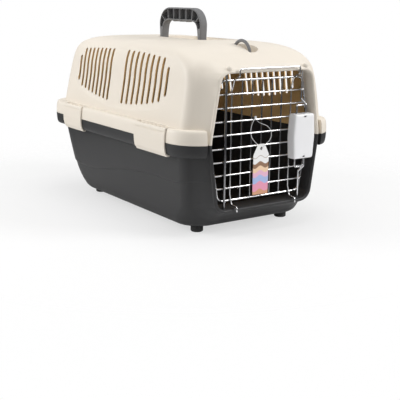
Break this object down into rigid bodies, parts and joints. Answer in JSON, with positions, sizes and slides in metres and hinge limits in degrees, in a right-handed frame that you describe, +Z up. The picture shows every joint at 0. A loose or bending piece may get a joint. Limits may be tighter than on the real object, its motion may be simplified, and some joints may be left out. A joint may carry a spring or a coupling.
{
  "type": "bird travel carrier",
  "caption": "Two-part moulded travel carrier for birds and small pets with a hinged wire door, sprung bolts, fold-down handle, strap rings and side clips.",
  "frame": {"origin": "middle of the footprint at the level that the feet stand on", "axes": "+Z up, the door faces -Y, the length runs along Y, +X is to the right seen from the door's outside"},
  "size_m": [0.3076, 0.4789, 0.3427],
  "materials": {
    "top_plastic": "satin moulded plastic, cream",
    "tub_plastic": "satin moulded plastic, charcoal",
    "clip_plastic": "satin moulded plastic, cream",
    "grey_plastic": "semi-gloss moulded plastic, dark grey",
    "foot_rubber": "matt",
    "chrome_wire": "bright plated steel wire",
    "spring_steel": "bright",
    "white_plastic": "satin white",
    "card": "coated card",
    "clear_thread": "clear thread"
  },
  "bodies": {
    "carrier": {"tub_shell": "tub_plastic", "top_shell": "top_plastic", "foot_front_left": "foot_rubber", "foot_front_right": "foot_rubber", "foot_rear_left": "foot_rubber", "foot_rear_right": "foot_rubber"},
    "clip_front_left": {"clip_front_left": "clip_plastic"},
    "clip_front_right": {"clip_front_right": "clip_plastic"},
    "clip_rear_left": {"clip_rear_left": "clip_plastic"},
    "clip_rear_right": {"clip_rear_right": "clip_plastic"},
    "handle": {"carry_handle": "grey_plastic"},
    "ring_front": {"strap_ring_front": "grey_plastic"},
    "ring_rear": {"strap_ring_rear": "grey_plastic"},
    "door": {"door_edge_wire": "chrome_wire", "door_cross_wires": "chrome_wire", "door_upright_wires": "chrome_wire", "door_stay_wire": "chrome_wire", "hinge_rod": "chrome_wire", "latch_cover": "white_plastic", "latch_back": "white_plastic", "latch_spring_upper": "spring_steel", "latch_spring_lower": "spring_steel"},
    "upper_bolt": {"bolt_upper": "chrome_wire"},
    "lower_bolt": {"bolt_lower": "chrome_wire"},
    "swing_tag": {"tag_card": "card", "tag_loop": "clear_thread"}
  },
  "joints": [
    {"name": "door_hinge", "type": "hinge", "parent": "carrier", "child": "door", "pos_m": [-0.0735, -0.22565, 0.15], "axis": [0, 0, -1], "range_deg": [0, 95]},
    {"name": "upper_bolt_slide", "type": "slide", "parent": "door", "child": "upper_bolt", "axis": [0, 0, 1], "range_m": [0, 0.006], "stiffness_N_per_m": 60, "springref_m": 0.01, "deforming": ["latch_spring_upper"]},
    {"name": "lower_bolt_slide", "type": "slide", "parent": "door", "child": "lower_bolt", "axis": [0, 0, -1], "range_m": [0, 0.006], "stiffness_N_per_m": 60, "springref_m": 0.01, "deforming": ["latch_spring_lower"]},
    {"name": "handle_fold", "type": "hinge", "parent": "carrier", "child": "handle", "pos_m": [-0.005, -0.0045, 0.285], "axis": [0, 1, 0], "range_deg": [0, 88]},
    {"name": "front_ring_fold", "type": "hinge", "parent": "carrier", "child": "ring_front", "pos_m": [0, -0.165, 0.274], "axis": [0, 0.9925, 0.1219], "range_deg": [0, 88]},
    {"name": "rear_ring_lift", "type": "hinge", "parent": "carrier", "child": "ring_rear", "pos_m": [0, 0.15, 0.28], "axis": [0, -0.9962, 0.0872], "range_deg": [0, 90]},
    {"name": "front_left_clip", "type": "hinge", "parent": "carrier", "child": "clip_front_left", "pos_m": [-0.1455, -0.1355, 0.166], "axis": [0, 1, 0], "range_deg": [0, 95]},
    {"name": "front_right_clip", "type": "hinge", "parent": "carrier", "child": "clip_front_right", "pos_m": [0.1455, -0.1355, 0.166], "axis": [0, -1, 0], "range_deg": [0, 95]},
    {"name": "rear_left_clip", "type": "hinge", "parent": "carrier", "child": "clip_rear_left", "pos_m": [-0.1455, 0.129, 0.166], "axis": [0, 1, 0], "range_deg": [0, 95]},
    {"name": "rear_right_clip", "type": "hinge", "parent": "carrier", "child": "clip_rear_right", "pos_m": [0.1455, 0.129, 0.166], "axis": [0, -1, 0], "range_deg": [0, 95]},
    {"name": "tag_swing", "type": "hinge", "parent": "door", "child": "swing_tag", "pos_m": [0, -0.2223, 0.1795], "axis": [-1, 0, 0], "range_deg": [0, 60]}
  ]
}
